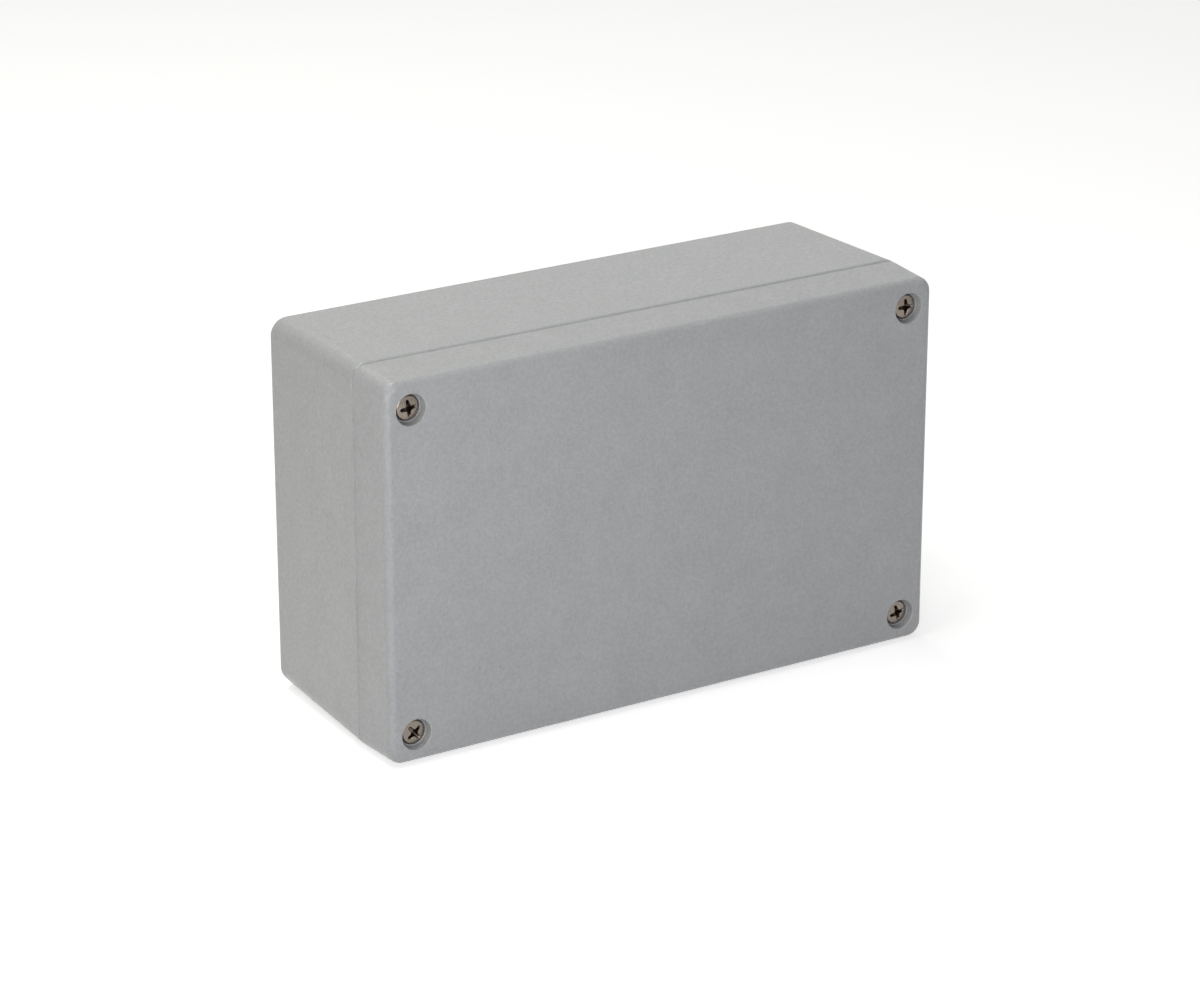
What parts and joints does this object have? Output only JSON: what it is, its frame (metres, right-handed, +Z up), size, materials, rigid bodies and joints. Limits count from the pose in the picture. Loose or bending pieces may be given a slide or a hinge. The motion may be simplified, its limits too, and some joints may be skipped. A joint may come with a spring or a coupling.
{
  "type": "die cast aluminium box",
  "caption": "Grey painted die cast aluminium enclosure with a sealed screw-down lid, counterbored captive screws, wall-mounting holes and board bosses inside.",
  "frame": {"origin": "under the middle of the box, on the plane that its lower long side stands on", "axes": "+X along the length, +Y from the lid to the back, +Z up across the height; the lid faces -Y"},
  "size_m": [0.16, 0.06, 0.1],
  "materials": {
    "painted_casting": "light grey fine-textured powder coat over the cast alloy",
    "gasket_rubber": "matt black neoprene",
    "stainless_steel": "bright stainless steel"
  },
  "bodies": {
    "base": {"base": "painted_casting"},
    "lid": {"lid": "painted_casting", "gasket": "gasket_rubber"},
    "clip_1": {"screw_clip_1": "stainless_steel"},
    "screw_1": {"lid_screw_1": "stainless_steel"},
    "clip_2": {"screw_clip_2": "stainless_steel"},
    "screw_2": {"lid_screw_2": "stainless_steel"},
    "clip_3": {"screw_clip_3": "stainless_steel"},
    "screw_3": {"lid_screw_3": "stainless_steel"},
    "clip_4": {"screw_clip_4": "stainless_steel"},
    "screw_4": {"lid_screw_4": "stainless_steel"}
  },
  "joints": [
    {"name": "lid_lift", "type": "slide", "parent": "base", "child": "lid", "axis": [0, -1, 0], "range_m": [0, 0.09]},
    {"name": "screw_1_travel", "type": "slide", "parent": "lid", "child": "clip_1", "axis": [0, -1, 0], "range_m": [0, 0.0072]},
    {"name": "screw_1_turn", "type": "hinge", "parent": "clip_1", "child": "screw_1", "pos_m": [-0.072, -0.0262, 0.092], "axis": [0, -1, 0], "range_deg": [0, 3703]},
    {"name": "screw_2_travel", "type": "slide", "parent": "lid", "child": "clip_2", "axis": [0, -1, 0], "range_m": [0, 0.0072]},
    {"name": "screw_2_turn", "type": "hinge", "parent": "clip_2", "child": "screw_2", "pos_m": [0.072, -0.0262, 0.092], "axis": [0, -1, 0], "range_deg": [0, 3703]},
    {"name": "screw_3_travel", "type": "slide", "parent": "lid", "child": "clip_3", "axis": [0, -1, 0], "range_m": [0, 0.0072]},
    {"name": "screw_3_turn", "type": "hinge", "parent": "clip_3", "child": "screw_3", "pos_m": [0.072, -0.0262, 0.008], "axis": [0, -1, 0], "range_deg": [0, 3703]},
    {"name": "screw_4_travel", "type": "slide", "parent": "lid", "child": "clip_4", "axis": [0, -1, 0], "range_m": [0, 0.0072]},
    {"name": "screw_4_turn", "type": "hinge", "parent": "clip_4", "child": "screw_4", "pos_m": [-0.072, -0.0262, 0.008], "axis": [0, -1, 0], "range_deg": [0, 3703]}
  ],
  "couplings": [
    {"joint": "screw_1_turn", "follows": "screw_1_travel", "rad_per_m": 8976},
    {"joint": "screw_2_turn", "follows": "screw_2_travel", "rad_per_m": 8976},
    {"joint": "screw_3_turn", "follows": "screw_3_travel", "rad_per_m": 8976},
    {"joint": "screw_4_turn", "follows": "screw_4_travel", "rad_per_m": 8976}
  ]
}
